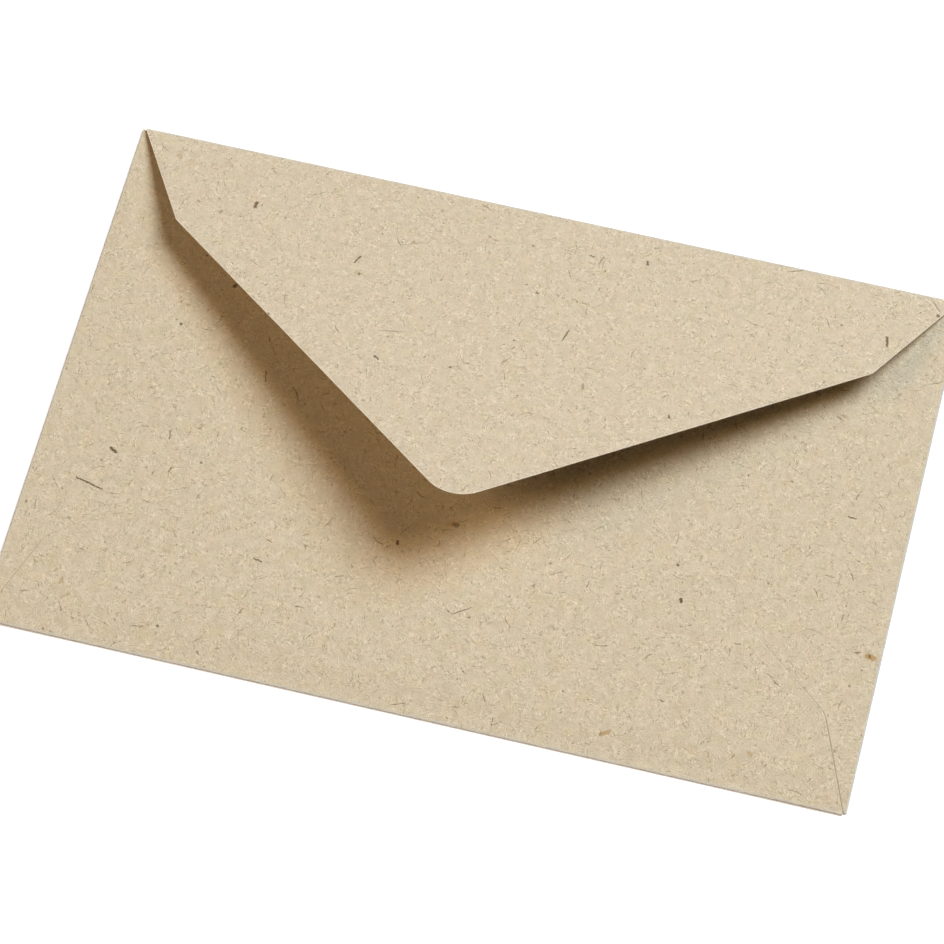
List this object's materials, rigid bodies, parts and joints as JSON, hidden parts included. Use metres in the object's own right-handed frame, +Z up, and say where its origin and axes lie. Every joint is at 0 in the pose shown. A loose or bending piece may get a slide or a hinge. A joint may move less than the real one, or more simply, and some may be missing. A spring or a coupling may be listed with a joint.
{
  "type": "letter envelope",
  "caption": "Letter envelope of kraft paper with diagonal seams, lying on its address face, its pointed seal flap hinged on the top crease and standing a little open.",
  "frame": {"origin": "middle of the outline, on the surface that the address face rests on", "axes": "+X along the long side, +Y towards the top crease, +Z up out of the back of the envelope"},
  "size_m": [0.176, 0.12, 0.0209],
  "materials": {
    "kraft_paper": "matt, speckled with fine fibres",
    "pressed_crease": "matt, pressed",
    "seam_glue": "dried starch glue, satin",
    "dry_gum": "dried gum, slightly glossy"
  },
  "bodies": {
    "pocket": {"front_panel": "kraft_paper", "left_side_flap": "kraft_paper", "right_side_flap": "kraft_paper", "bottom_flap": "kraft_paper", "top_fold": "pressed_crease", "bottom_fold": "pressed_crease", "left_fold": "pressed_crease", "right_fold": "pressed_crease", "left_seam_glue": "seam_glue", "right_seam_glue": "seam_glue"},
    "flap": {"seal_flap": "kraft_paper", "seal_gum": "dry_gum"}
  },
  "joints": [
    {"name": "seal_flap_hinge", "type": "hinge", "parent": "pocket", "child": "flap", "pos_m": [0, 0.05946, 0.00053], "axis": [-1, 0, 0], "range_deg": [-14, 166]}
  ]
}
